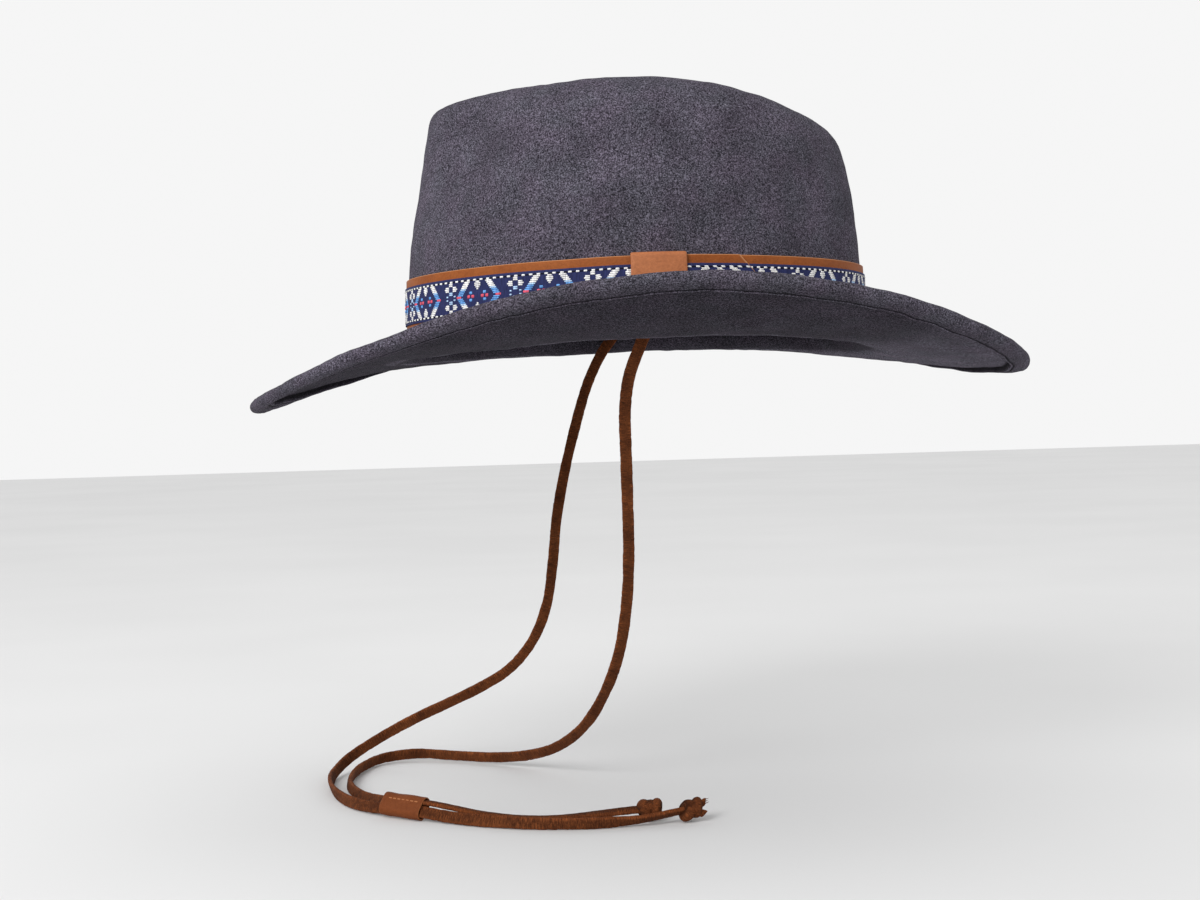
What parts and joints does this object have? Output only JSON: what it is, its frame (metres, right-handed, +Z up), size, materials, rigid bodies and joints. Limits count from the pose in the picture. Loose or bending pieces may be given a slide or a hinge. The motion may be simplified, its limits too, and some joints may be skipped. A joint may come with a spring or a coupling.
{
  "type": "felt hat",
  "caption": "Wide-brimmed felt hat with a creased crown, a woven band on a leather belt and a leather chin lace with a slider.",
  "frame": {"origin": "centre of the head opening, level with the felt's bend at the two sides", "axes": "+X to the back of the hat, +Y to the wearer's right, +Z up out of the crown"},
  "size_m": [0.3558, 0.3234, 0.3246],
  "materials": {
    "felt": "heathered grey wool felt with a short nap",
    "band_leather": "smooth tan leather with a raw cut edge",
    "ribbon": "woven navy ribbon with a white, light blue and coral pattern",
    "lace": "brown suede lace",
    "slider_leather": "stitched brown leather"
  },
  "bodies": {
    "root": {"felt_body": "felt", "band_leather": "band_leather", "band_ribbon": "ribbon", "band_keeper": "band_leather", "strap_inside": "lace", "strap_near": "lace", "strap_far": "lace", "strap_slider": "slider_leather", "knot_near": "lace", "knot_far": "lace"}
  },
  "joints": []
}
